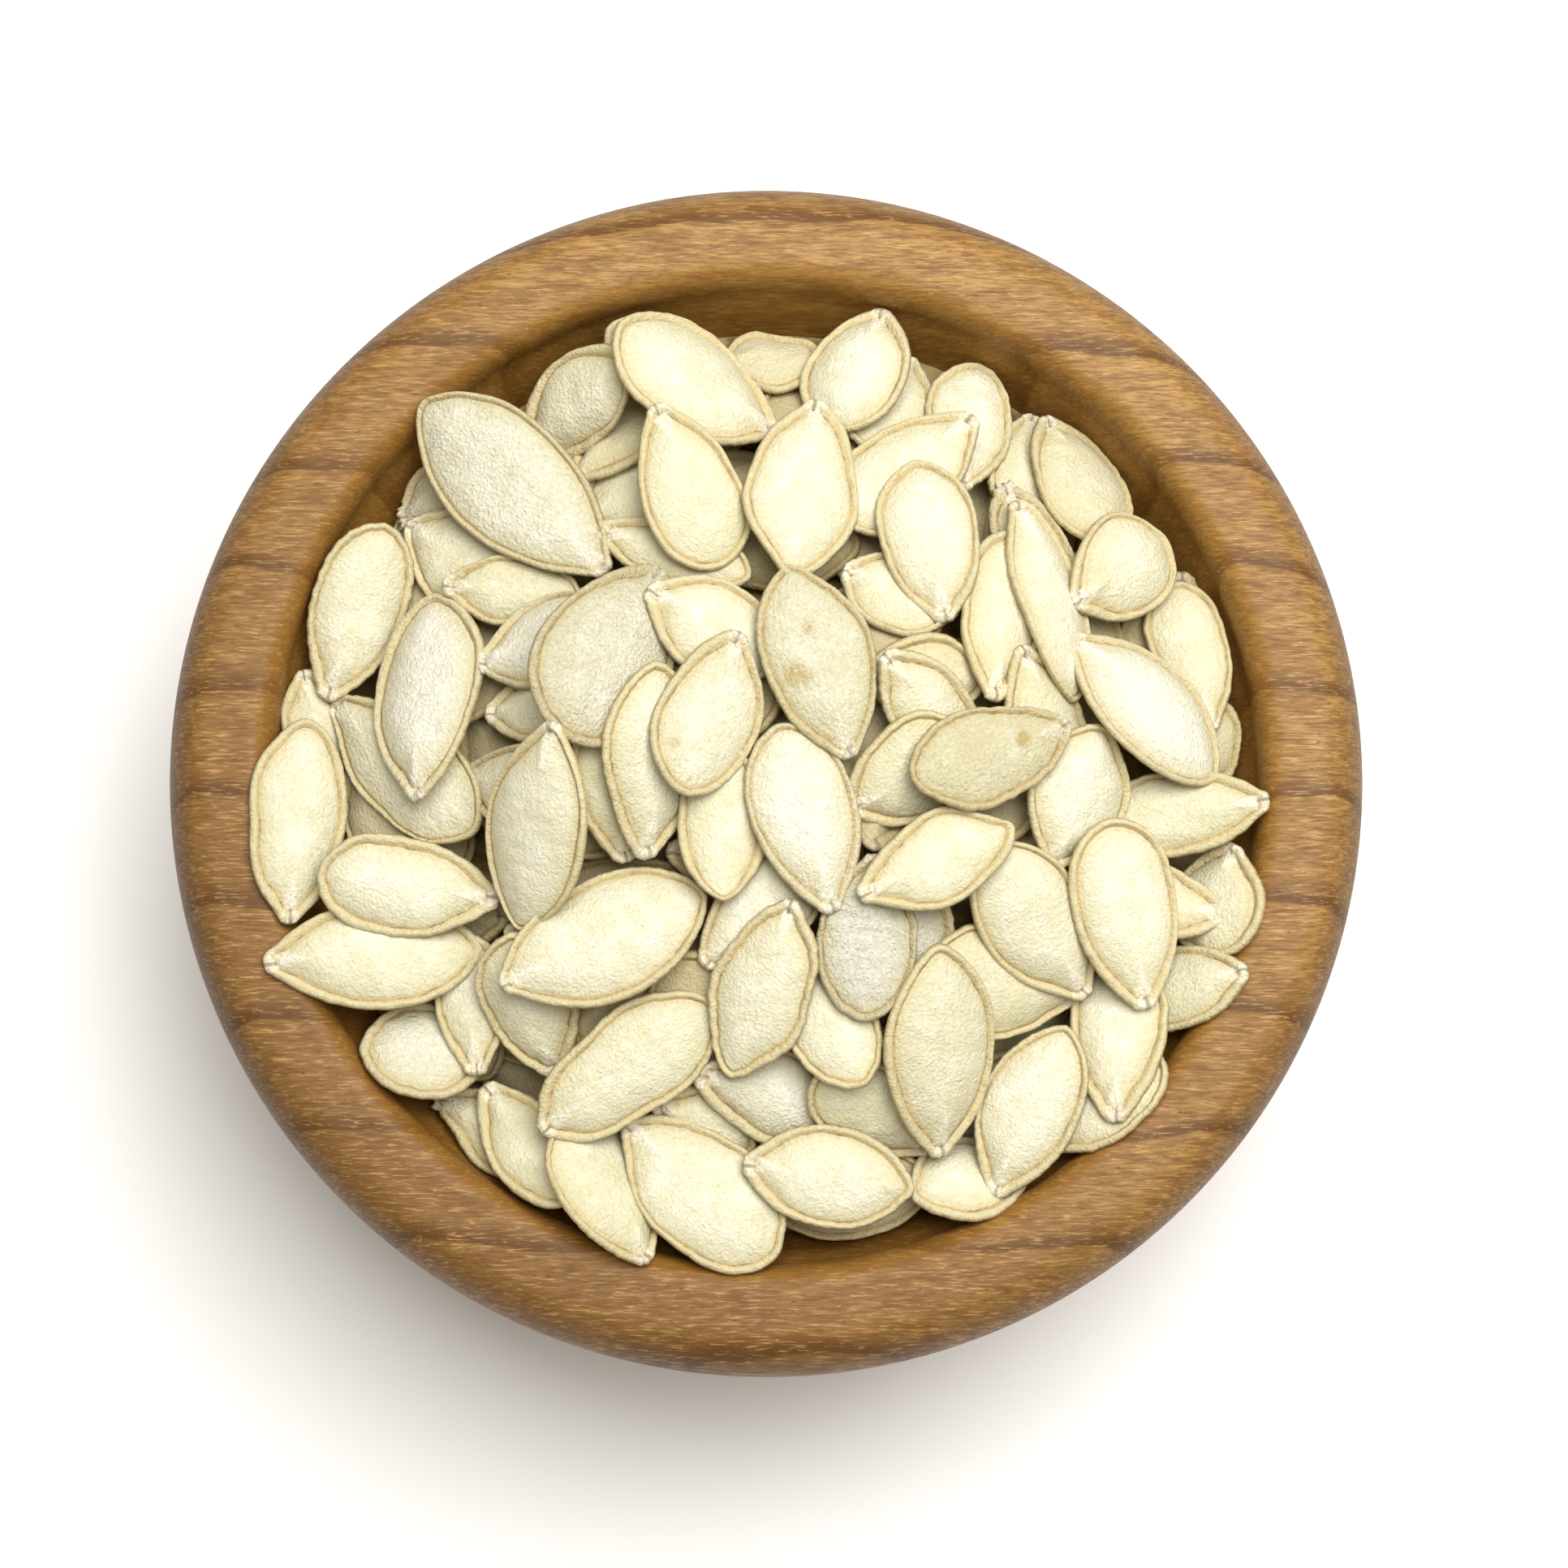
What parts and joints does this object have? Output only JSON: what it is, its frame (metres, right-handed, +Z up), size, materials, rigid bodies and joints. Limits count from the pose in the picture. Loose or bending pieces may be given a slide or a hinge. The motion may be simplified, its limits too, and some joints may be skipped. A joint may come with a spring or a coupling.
{
  "type": "bowl of pumpkin seeds",
  "caption": "Small round turned wooden bowl with a broad rounded rim, heaped above the rim with roasted pumpkin seeds in their white shells.",
  "frame": {"origin": "centre of the foot's flat underside", "axes": "+Z up, -Y towards the side nearest the viewer in the picture, +X to the viewer's right"},
  "size_m": [0.14, 0.14, 0.071],
  "materials": {
    "bowl_wood": "turned and oiled, satin",
    "seed_shell": "dry roasted shell, papery satin"
  },
  "bodies": {
    "root": {"bowl": "bowl_wood", "seed_heap": "seed_shell"}
  },
  "joints": []
}
